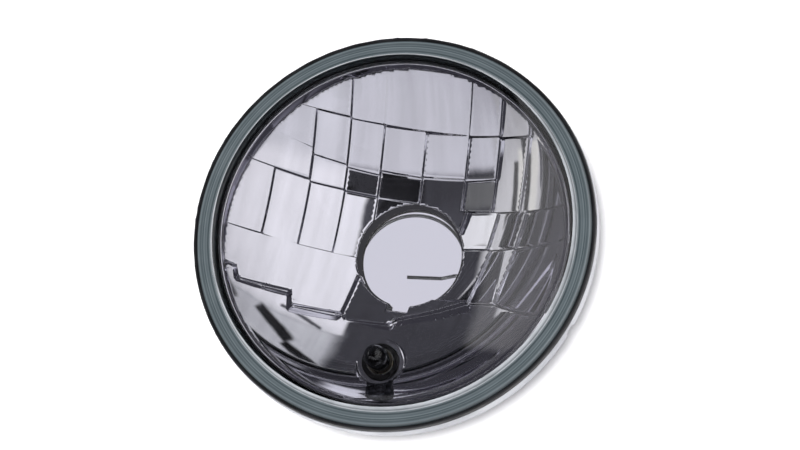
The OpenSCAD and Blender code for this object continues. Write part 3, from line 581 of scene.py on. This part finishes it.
bulbGlass, grommet = makeBulbGlass(), makeGrommet()
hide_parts("pilot_bulb_glass")
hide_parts("pilot_grommet")

# for each node: new name, body, rounding of its edges in mm, angle in degrees above which an edge is
# shaded sharp, material slot
dressed = {
    "seat_ring": ("seatRing", "insert", 0.12, 32, "plated_steel"),
    "ring_screws": ("ringScrews", "insert", 0.12, 32, "screw_steel"),
    "bulb_clip": ("bulbClip", "clip", 0.0, 40, "spring_wire"),
    "pilot_socket": ("lampSocket", "insert", 0.05, 32, "socket_metal"),
    "pilot_base": ("lampBase", "insert", 0.15, 32, "base_plastic"),
    "pilot_disc": ("fibreDisc", "insert", 0.08, 32, "fibre_disc"),
    "pilot_plunger": ("contactPlunger", "insert", 0.08, 32, "contact_brass"),
    "pilot_spring": ("contactSpring", "insert", 0.0, 60, "spring_wire"),
    "pilot_live_blade": ("liveBlade", "insert", 0.12, 32, "blade_brass"),
    "pilot_earth_blade": ("earthBlade", "insert", 0.12, 32, "blade_brass"),
    "pilot_bulb_stem": ("smallBulbStem", "insert", 0.08, 50, "stem_glass"),
    "pilot_bulb_cap": ("smallBulbCap", "insert", 0.1, 32, "cap_brass"),
    "pilot_bulb_tip": ("smallBulbTip", "insert", 0.15, 40, "solder"),
    "pilot_bulb_leads": ("leadWires", "insert", 0.0, 50, "lead_wire"),
    "pilot_bulb_filament": ("filament", "insert", 0.0, 60, "filament_wire"),
}
copies = {}
for node, (newName, body, edge, sharp, slotName) in dressed.items():
    copies[slotName] = copies.get(slotName, []) + [dressedCopy(node, newName, body, edge, sharp)]
print("small parts", len(dressed))


# Materials

# a node tree written as calls: add makes one node, and links or sets the inputs it is given
class Tree:
    def __init__(self, tree):
        self.tree = tree

    def add(self, kind, inputs=None, **settings):
        made = self.tree.nodes.new(kind)
        for key, value in settings.items():
            setattr(made, key, value)
        for key, value in (inputs or {}).items():
            if isinstance(value, bpy.types.NodeSocket):
                self.tree.links.new(value, made.inputs[key])
            else:
                made.inputs[key].default_value = value
        return made

    def math(self, operation, a, b=0.0):
        return self.add("ShaderNodeMath", {0: a, 1: b}, operation=operation).outputs[0]

    # toLow below low, toHigh above high, smooth between
    def smooth(self, value, low, high, toLow=0.0, toHigh=1.0):
        given = {"Value": value, "From Min": low, "From Max": high, "To Min": toLow, "To Max": toHigh}
        return self.add("ShaderNodeMapRange", given, interpolation_type="SMOOTHSTEP").outputs[0]

    def mix(self, factor, a, b):
        return self.add("ShaderNodeMix", {0: factor, 6: a, 7: b}, data_type="RGBA").outputs[2]

    def noise(self, vector, scale, detail=3.0, rough=0.5):
        given = {"Vector": vector, "Scale": scale, "Detail": detail, "Roughness": rough}
        return self.add("ShaderNodeTexNoise", given).outputs[0]

    # distance of a place from the lamp's axis: the root of x squared and z squared
    def fromAxis(self, place):
        axes = self.add("ShaderNodeSeparateXYZ", {0: place}).outputs
        x2, z2 = (self.math("MULTIPLY", axes[k], axes[k]) for k in (0, 2))
        return self.math("SQRT", self.math("ADD", x2, z2))


wearValues = {
    "hazeScale": 90.0, "hazeFrom": 0.35, "hazeTo": 0.7, "fineScale": 1400.0, "speckLimit": 0.72,
    "speckSoft": 0.05, "hazeShare": 0.4, "bumpDistance": 0.00005,
}
wv = wearValues


# shared wear: cloudy haze from a coarse noise, specks where a fine noise passes a limit, and a height
# for the bump
def makeWearGroup():
    group = bpy.data.node_groups.new("surfaceWear", "ShaderNodeTree")
    face = group.interface
    for name, default in (("Scale", 1.0), ("Speck Limit", wv["speckLimit"])):
        made = face.new_socket(name, in_out="INPUT", socket_type="NodeSocketFloat")
        made.default_value = default
    for name in ("Haze", "Specks", "Height"):
        face.new_socket(name, in_out="OUTPUT", socket_type="NodeSocketFloat")
    t = Tree(group)
    given, result = t.add("NodeGroupInput"), t.add("NodeGroupOutput")
    place = t.add("ShaderNodeTexCoord").outputs["Object"]
    scale = given.outputs["Scale"]
    coarse = t.noise(place, t.math("MULTIPLY", scale, wv["hazeScale"]), 4)
    haze = t.smooth(coarse, wv["hazeFrom"], wv["hazeTo"])
    fine = t.noise(place, t.math("MULTIPLY", scale, wv["fineScale"]), 2)
    limit = given.outputs["Speck Limit"]
    specks = t.smooth(fine, limit, t.math("ADD", limit, wv["speckSoft"]))
    height = t.math("ADD", t.math("MULTIPLY", haze, wv["hazeShare"]),
                    t.math("MULTIPLY", fine, 1 - wv["hazeShare"]))
    for name, value in (("Haze", haze), ("Specks", specks), ("Height", height)):
        group.links.new(value, result.inputs[name])
    return group


wearGroup = makeWearGroup()


# a Principled material, with its constants on the shader's own sockets. Colour and roughness each run
# between two values along the haze, a third colour is for the specks, and the height drives a bump
def makeMaterial(name, colours, roughness, bump=0.0, scale=1.0, speckLimit=wv["speckLimit"], **sockets):
    material = bpy.data.materials.new(name)
    material.use_nodes = True
    t = Tree(material.node_tree)
    shader = material.node_tree.nodes["Principled BSDF"]
    wear = t.add("ShaderNodeGroup", node_tree=wearGroup)
    wear.inputs["Scale"].default_value = scale
    wear.inputs["Speck Limit"].default_value = speckLimit
    base = t.mix(wear.outputs["Haze"], (*colours[0], 1), (*colours[1], 1))
    if len(colours) > 2:
        base = t.mix(wear.outputs["Specks"], base, (*colours[2], 1))
    t.tree.links.new(base, shader.inputs["Base Color"])
    rough = t.smooth(wear.outputs["Haze"], 0, 1, roughness[0], roughness[1])
    t.tree.links.new(rough, shader.inputs["Roughness"])
    if bump > 0:
        given = {"Height": wear.outputs["Height"], "Strength": bump, "Distance": wv["bumpDistance"]}
        t.tree.links.new(t.add("ShaderNodeBump", given).outputs["Normal"], shader.inputs["Normal"])
    for key, value in sockets.items():
        shader.inputs[key.replace("_", " ")].default_value = value
    return material, t, shader


metal, clear = {"Metallic": 1.0}, {"Transmission_Weight": 1.0}
# for each material slot: name, colours, range of roughness, bump, other values
finishValues = {
    "mirror_coat": ("mirrorCoat", [(0.90, 0.885, 0.945), (0.87, 0.855, 0.915), (0.74, 0.73, 0.77)],
                    (0.02, 0.04), 0.002, {**metal, "speckLimit": 0.8, "scale": 0.5}),
    "lens_glass": ("lensGlass", [(0.985, 0.995, 0.995), (0.975, 0.99, 0.99)],
                   (0.0, 0.006), 0.0015, {**clear, "scale": 0.3, "IOR": 1.52}),
    "sealant": ("sealant", [(0.008, 0.008, 0.009), (0.016, 0.016, 0.018)],
                (0.4, 0.6), 0.35, {"Specular_IOR_Level": 0.25}),
    "plated_steel": ("platedSteel", [(0.62, 0.61, 0.57), (0.50, 0.49, 0.46), (0.35, 0.34, 0.32)],
                     (0.22, 0.4), 0.15, metal),
    "screw_steel": ("screwSteel", [(0.58, 0.58, 0.57), (0.44, 0.44, 0.43), (0.3, 0.3, 0.3)],
                    (0.25, 0.45), 0.2, metal),
    "spring_wire": ("springWire", [(0.6, 0.6, 0.62), (0.5, 0.5, 0.52), (0.36, 0.36, 0.38)],
                    (0.35, 0.5), 0.1, {"scale": 2.0, "Metallic": 0.7}),
    "grommet_rubber": ("grommetRubber",
                       [(0.016, 0.016, 0.018), (0.03, 0.03, 0.033), (0.06, 0.06, 0.062)],
                       (0.45, 0.65), 0.3, {}),
    "socket_metal": ("socketMetal", [(0.72, 0.70, 0.66), (0.6, 0.59, 0.56), (0.45, 0.44, 0.42)],
                     (0.2, 0.35), 0.1, metal),
    "base_plastic": ("basePlastic", [(0.02, 0.02, 0.022), (0.032, 0.032, 0.035), (0.06, 0.06, 0.06)],
                     (0.35, 0.5), 0.2, {}),
    "fibre_disc": ("fibreDisc", [(0.30, 0.15, 0.08), (0.22, 0.11, 0.06), (0.14, 0.07, 0.04)],
                   (0.6, 0.8), 0.3, {}),
    "contact_brass": ("contactBrass", [(0.78, 0.56, 0.24), (0.66, 0.46, 0.2), (0.45, 0.3, 0.14)],
                      (0.2, 0.38), 0.1, metal),
    "blade_brass": ("bladeBrass", [(0.74, 0.68, 0.5), (0.64, 0.58, 0.42), (0.45, 0.38, 0.26)],
                    (0.25, 0.42), 0.12, metal),
    "bulb_glass": ("bulbGlass", [(0.42, 0.43, 0.44), (0.30, 0.31, 0.32)],
                   (0.0, 0.03), 0.01, {**clear, "IOR": 1.5}),
    "stem_glass": ("stemGlass", [(0.5, 0.51, 0.51), (0.4, 0.41, 0.41)],
                   (0.05, 0.2), 0.05, {**clear, "IOR": 1.5}),
    "cap_brass": ("capBrass", [(0.66, 0.60, 0.48), (0.52, 0.47, 0.37), (0.3, 0.27, 0.2)],
                  (0.2, 0.4), 0.12, metal),
    "solder": ("solder", [(0.55, 0.56, 0.57), (0.42, 0.43, 0.44), (0.3, 0.3, 0.3)],
               (0.35, 0.6), 0.4, metal),
    "lead_wire": ("leadWire", [(0.45, 0.45, 0.46), (0.35, 0.35, 0.36)], (0.3, 0.45), 0.0, metal),
    "filament_wire": ("filamentWire", [(0.16, 0.16, 0.17), (0.1, 0.1, 0.11)], (0.4, 0.55), 0.0, metal),
}
finishes = {slotName: makeMaterial(*values[:4], **values[4])[0]
            for slotName, values in finishValues.items()}

# the second finishes of the glass, the bowl and the sealant. The last is the silver seat, where the
# mirror's coat shines through the thin layer under the dome's edge
shoulderMaterial = makeMaterial("lensShoulder", [(0.40, 0.42, 0.45), (0.26, 0.28, 0.30)], (0.08, 0.2),
                                bump=0.05, Coat_Weight=1.0, Coat_Roughness=0.03)[0]
bowlBack = makeMaterial("bowlBack", [(0.56, 0.57, 0.60), (0.47, 0.48, 0.51), (0.34, 0.345, 0.365)],
                        (0.34, 0.5), bump=0.04, scale=0.6, Metallic=0.7)[0]
seatMaterial = makeMaterial("silverSeat", [(0.90, 0.91, 0.94), (0.78, 0.79, 0.82), (0.40, 0.41, 0.43)],
                            (0.3, 0.5), bump=0.02, scale=0.6, Metallic=0.2)[0]

flangeValues = {
    "ringScale": 1500.0, "ringDetail": 3, "ringRough": 0.6, "ringFrom": 0.3, "ringTo": 0.72,
    "dark": (0.018, 0.025, 0.028, 1), "light": (0.15, 0.18, 0.195, 1), "share": 0.7,
}


# bonded flange: grey-blue, in fine rings whose shade is a noise of the distance from the axis
def makeFlangeMaterial():
    f = flangeValues
    material, t, shader = makeMaterial("lensFlange", [(0.052, 0.067, 0.076), (0.078, 0.096, 0.107)],
                                       (0.1, 0.22), bump=0.04, Coat_Weight=1.0, Coat_Roughness=0.02)
    place = t.add("ShaderNodeTexCoord").outputs["Object"]
    along = t.add("ShaderNodeCombineXYZ", {0: t.fromAxis(place)}).outputs[0]
    grain = t.noise(along, f["ringScale"], f["ringDetail"], f["ringRough"])
    ringed = t.mix(t.smooth(grain, f["ringFrom"], f["ringTo"]), f["dark"], f["light"])
    plain = shader.inputs["Base Color"].links[0].from_socket
    t.tree.links.new(t.mix(f["share"], plain, ringed), shader.inputs["Base Color"])
    return material


flangeMaterial = makeFlangeMaterial()


# gives a piece one material alone
def dress(obj, material):
    obj.data.materials.clear()
    obj.data.materials.append(material)


# in mm: how far outside the bore's and the mouth's edges and inside the rim's edge a face lies, and
# how far behind the mirror or the rim's front; lookBack is the least y of a normal that looks back
outsideValues = {"lookBack": 0.05, "bore": 0.4, "mirror": 0.5, "mouth": 1, "rim": 0.5, "front": 1}


# the outside of the bowl has its own satin lacquer: faces that look back or lie behind the mirror,
# and all between the mouth and the rim's edge that lie behind the rim's front
def splitReflector(obj):
    limit = outsideValues
    obj.data.materials.append(bowlBack)
    co, n = (np.empty(len(obj.data.polygons) * 3) for _ in range(2))
    obj.data.polygons.foreach_get("center", co)
    obj.data.polygons.foreach_get("normal", n)
    x, y, z = co.reshape(-1, 3).T / mm
    r, back = np.hypot(x, z), n.reshape(-1, 3)[:, 1] > limit["lookBack"]
    behind = back | (y > mirrorDepth(x, z) + limit["mirror"])
    outside = (r > rv["boreFrontR"] + limit["bore"]) & behind
    outside |= (r > rv["mouthR"] + limit["mouth"]) & (r < rimR - limit["rim"]) & (y > limit["front"])
    obj.data.polygons.foreach_set("material_index", outside.astype(np.int32))


for slotName, group in copies.items():
    for obj in group:
        dress(obj, finishes[slotName])
ownFinishes = ((reflector, "mirror_coat"), (bulbGlass, "bulb_glass"), (grommet, "grommet_rubber"))
for obj, slotName in ownFinishes:
    dress(obj, finishes[slotName])
splitReflector(reflector)
splitTurned(lens, (finishes["lens_glass"], shoulderMaterial, flangeMaterial), lensSlots)
splitTurned(sealant, (finishes["sealant"], seatMaterial), sealantSlots)
# the hidden CAD nodes get the same finish as the pieces that stand for them
for part in frame["record"]["subparts"]:
    dress(cadNodes[part["node"]], finishes[part["material_slot"]])
print("materials", len(finishes))


# Studio: camera, floor, surroundings and lights

# the camera's own directions, how far it aims beside the origin in mm, its distance in metres, and
# its lens and sensor in mm
cameraValues = {
    "right": (0.9594, 0.1990, 0.2001), "up": (-0.1361, -0.2951, 0.9457),
    "forward": (-0.2472, 0.9345, 0.2560), "aimRight": 2.51, "aimUp": 2.26, "distance": 0.9,
    "lens": 113.3, "sensor": 36.0, "near": 0.01, "far": 20.0,
}
camRight, camUp, camForward = (Vector(cameraValues[key]) for key in ("right", "up", "forward"))


def makeCamera():
    c = cameraValues
    data = bpy.data.cameras.new("camera")
    camera = bpy.data.objects.new("camera", data)
    bpy.context.scene.collection.objects.link(camera)
    bpy.context.scene.camera = camera
    lookAt = (c["aimRight"] * camRight + c["aimUp"] * camUp) * mm
    turn = Matrix((camRight, camUp, -camForward)).transposed().to_4x4()
    camera.matrix_world = Matrix.Translation(lookAt - c["distance"] * camForward) @ turn
    data.lens, data.sensor_width = c["lens"], c["sensor"]
    data.clip_start, data.clip_end = c["near"], c["far"]


makeCamera()
bpy.context.scene.view_settings.view_transform = "Standard"

# lengths in metres. "hole" is painted light: the lavender glow that rays through glass find on the floor
# near the axis. "dark" is painted shadow: the dim light that the mirror finds there
floorValues = {
    "y": 0.0496, "half": 3.0, "roughness": 0.9, "glow": 0.06, "soft": 0.004,
    "tones": ((0.90, 0.895, 0.91, 1), (0.93, 0.925, 0.94, 1)), "toneScale": 40.0,
    "hole": ((0.93, 0.91, 1.05, 1), 0.72), "holeR": 0.076,
    "dark": ((0.95, 0.93, 1, 1), 0.05), "darkR": 0.030,
}


# the pale floor that the lamp lies on with its rear side: one-sided, so that the lamp is seen from
# behind too
def makeFloor():
    f = floorValues
    half, y = f["half"], f["y"]
    mesh = bpy.data.meshes.new("floor")
    corners = [(-half, y, -half), (half, y, -half), (half, y, half), (-half, y, half)]
    mesh.from_pydata(corners, [], [(0, 1, 2, 3)])
    obj = bpy.data.objects.new("floor", mesh)
    bpy.context.scene.collection.objects.link(obj)
    material = bpy.data.materials.new("floor")
    material.use_nodes = True
    t = Tree(material.node_tree)
    shader, out = (material.node_tree.nodes[name] for name in ("Principled BSDF", "Material Output"))
    place = t.add("ShaderNodeTexCoord").outputs["Object"]
    t.tree.links.new(t.mix(t.noise(place, f["toneScale"]), *f["tones"]), shader.inputs["Base Color"])
    shader.inputs["Roughness"].default_value = f["roughness"]
    lit = t.add("ShaderNodeEmission", {"Color": (1, 1, 1, 1), "Strength": f["glow"]})
    surface = t.add("ShaderNodeAddShader", {0: shader.outputs[0], 1: lit.outputs[0]}).outputs[0]
    # the glossy ray comes first, because a ray through glass counts as glossy too
    # painted light under the lamp: within holeR, rays through glass find a lavender painted glow in
    # place of the floor's shaded colour, and within darkR the mirror's rays find a painted shadow
    path, away = t.add("ShaderNodeLightPath").outputs, t.fromAxis(place)
    for ray, edge, (colour, level) in (("Is Glossy Ray", f["darkR"], f["dark"]),
                                       ("Is Transmission Ray", f["holeR"], f["hole"])):
        paintedUnderLamp = t.add("ShaderNodeEmission", {"Color": colour, "Strength": level})
        near = t.smooth(away, edge - f["soft"], edge + f["soft"], 1.0, 0.0)
        where = t.math("MULTIPLY", path[ray], near)
        surface = t.add("ShaderNodeMixShader", {0: where, 1: surface, 2: paintedUnderLamp.outputs[0]}).outputs[0]
    clearSide = t.add("ShaderNodeBsdfTransparent")
    behind = t.add("ShaderNodeNewGeometry").outputs["Backfacing"]
    mixed = t.add("ShaderNodeMixShader", {0: behind, 1: surface, 2: clearSide.outputs[0]})
    t.tree.links.new(mixed.outputs[0], out.inputs["Surface"])
    mesh.materials.append(material)


makeFloor()

# what the mirror finds round the lamp: soft cards, each given on the map (u, v) = (x, z) / (1 - y) of
# the directions in front of it by its centre, half size, turn in degrees, softness and colour. A later
# card lies over an earlier one
firstCards = [
    ((-0.08, -0.11), (0.20, 0.09), 0, 0.014, (0.008, 0.008, 0.009)),
    ((-1.0, 0.75), (0.42, 0.5), 0, 0.05, (0.075, 0.073, 0.085)),
    ((0.74, 0.12), (0.615, 0.32), 0, 0.01, (1.02, 1.0, 1.04)),
    ((0.50, 0.26), (0.465, 0.30), 0, 0.01, (1.02, 1.0, 1.04)),
    ((0.0, -0.80), (1.3, 0.60), 0, 0.022, (0.72, 0.71, 0.76)),
    ((0.62, -0.40), (0.48, 0.25), 0, 0.04, (0.80, 0.79, 0.84)),
    ((0.55, 0.82), (0.50, 0.28), 0, 0.05, (0.70, 0.70, 0.73)),
    ((0.15, 0.80), (0.11, 0.028), -28, 0.012, (0.01, 0.01, 0.01)),
    ((0.32, 0.65), (0.12, 0.035), -34, 0.014, (0.012, 0.012, 0.012)),
    ((0.22, 0.53), (0.10, 0.010), -14, 0.008, (0.10, 0.10, 0.11)),
    ((0.60, 0.56), (0.09, 0.016), -50, 0.012, (0.16, 0.16, 0.17)),
    ((-0.74, -0.02), (0.12, 0.45), 0, 0.02, (0.66, 0.65, 0.66)),
    ((-1.20, 0.05), (0.372, 0.36), 2, 0.004, (0.062, 0.060, 0.078)),
    ((-0.58, 0.06), (0.085, 0.065), 0, 0.012, (1.0, 0.99, 1.0)),
    ((-0.54, -0.11), (0.075, 0.06), 0, 0.015, (0.17, 0.17, 0.17)),
    ((-0.74, -0.05), (0.016, 0.14), -6, 0.008, (0.03, 0.03, 0.03)),
    ((-0.785, -0.10), (0.022, 0.13), -4, 0.010, (0.95, 0.93, 0.86)),
]
# what a second reflection finds: mostly dark, with a few bright patches
secondCards = [
    ((0.24, 0.12), (0.12, 0.045), 10, 0.02, (0.90, 0.90, 0.94)),
    ((0.38, -0.31), (0.22, 0.035), 4, 0.02, (0.75, 0.75, 0.78)),
    ((0.02, 0.22), (0.03, 0.07), 20, 0.015, (0.85, 0.85, 0.88)),
    ((0.30, -0.90), (0.16, 0.09), 28, 0.03, (0.5, 0.5, 0.52)),
    ((-0.86, 0.45), (0.10, 0.10), 0, 0.03, (0.6, 0.6, 0.64)),
    ((0.17, 0.0), (0.05, 0.12), 8, 0.03, (0.42, 0.42, 0.45)),
]

worldValues = {
    "firstBase": (0.055, 0.054, 0.062, 1), "secondBase": (0.05, 0.049, 0.056, 1),
    "waver": 0.035, "waverScale": 7.0, "bandScale": 16.0, "bandLow": 0.88, "bandHigh": 1.08,
    "evenColour": (1, 0.99, 1, 1), "evenLevel": 0.22,
}


# lays each card over the colour so far, where both of its turned distances are under its half sizes
def paintCards(t, u, v, colour, cards):
    for centre, half, turn, soft, shade in cards:
        c, s = math.cos(math.radians(turn)), math.sin(math.radians(turn))
        du, dv = t.math("SUBTRACT", u, centre[0]), t.math("SUBTRACT", v, centre[1])
        along = t.math("ADD", t.math("MULTIPLY", du, c), t.math("MULTIPLY", dv, s))
        across = t.math("SUBTRACT", t.math("MULTIPLY", dv, c), t.math("MULTIPLY", du, s))
        inside = [t.smooth(t.math("ABSOLUTE", distance), size - soft, size + soft, 1.0, 0.0)
                  for distance, size in ((along, half[0]), (across, half[1]))]
        colour = t.mix(t.math("MULTIPLY", *inside), colour, (*shade, 1))
    return colour


# white for the camera, the cards for mirrors and glass, and an even, dimmer light for matt surfaces
def makeWorld():
    w = worldValues
    world = bpy.data.worlds.new("studio")
    bpy.context.scene.world = world
    world.use_nodes = True
    t = Tree(world.node_tree)
    back, out = world.node_tree.nodes["Background"], world.node_tree.nodes["World Output"]
    axes = t.add("ShaderNodeSeparateXYZ", {0: t.add("ShaderNodeTexCoord").outputs["Generated"]}).outputs
    below = t.math("SUBTRACT", 1.0, axes[1])
    u, v = (t.math("DIVIDE", axes[k], below) for k in (0, 2))
    # edges of the cards waver a little, and their light runs in soft upright bands
    flat = t.add("ShaderNodeCombineXYZ", {0: u, 1: v}).outputs[0]
    rough = t.math("SUBTRACT", t.noise(flat, w["waverScale"], 3), 0.5)
    waver = t.math("MULTIPLY", rough, w["waver"])
    bands = t.add("ShaderNodeCombineXYZ", {0: t.math("MULTIPLY", u, w["bandScale"]), 1: v}).outputs[0]
    level = t.smooth(t.noise(bands, 1.0, 3, 0.6), 0.25, 0.75, w["bandLow"], w["bandHigh"])
    u, v = t.math("ADD", u, waver), t.math("ADD", v, waver)
    first = paintCards(t, u, v, w["firstBase"], firstCards)
    second = paintCards(t, u, v, w["secondBase"], secondCards)
    path = t.add("ShaderNodeLightPath").outputs
    twice = t.math("GREATER_THAN", path["Glossy Depth"], 1.5)
    seen = {0: t.mix(twice, first, second), "Scale": level}
    scaled = t.add("ShaderNodeVectorMath", seen, operation="SCALE")
    t.tree.links.new(scaled.outputs[0], back.inputs["Color"])
    white = t.add("ShaderNodeBackground", {"Color": (1, 1, 1, 1), "Strength": 1.0})
    even = t.add("ShaderNodeBackground", {"Color": w["evenColour"], "Strength": w["evenLevel"]})
    mixed = even.outputs[0]
    for ray, shown in (("Is Glossy Ray", back), ("Is Camera Ray", white)):
        mixed = t.add("ShaderNodeMixShader", {0: path[ray], 1: mixed, 2: shown.outputs[0]}).outputs[0]
    t.tree.links.new(mixed, out.inputs["Surface"])


# name, angle in degrees from the camera's line towards the picture's upper left, so that shadows fall
# low on the right, distance and size in metres, watts
lampValues = [("softLamp", 4.0, 1.2, 0.15, 17.0), ("sideLamp", 62.0, 1.0, 0.4, 4.0)]


def makeLamp(name, tilt, distance, size, power):
    light = bpy.data.lights.new(name, "AREA")
    light.shape, light.size, light.energy = "DISK", size, power
    obj = bpy.data.objects.new(name, light)
    bpy.context.scene.collection.objects.link(obj)
    aside = math.tan(math.radians(tilt)) * (camUp - camRight).normalized()
    toLamp = (aside - camForward).normalized()
    turn = toLamp.to_track_quat("Z", "Y").to_matrix().to_4x4()
    obj.matrix_world = Matrix.Translation(toLamp * distance) @ turn
    obj.visible_glossy = False
    obj.visible_transmission = False


for values in lampValues:
    makeLamp(*values)
makeWorld()
print("studio", len(lampValues), "lamps", len(firstCards) + len(secondCards), "cards")
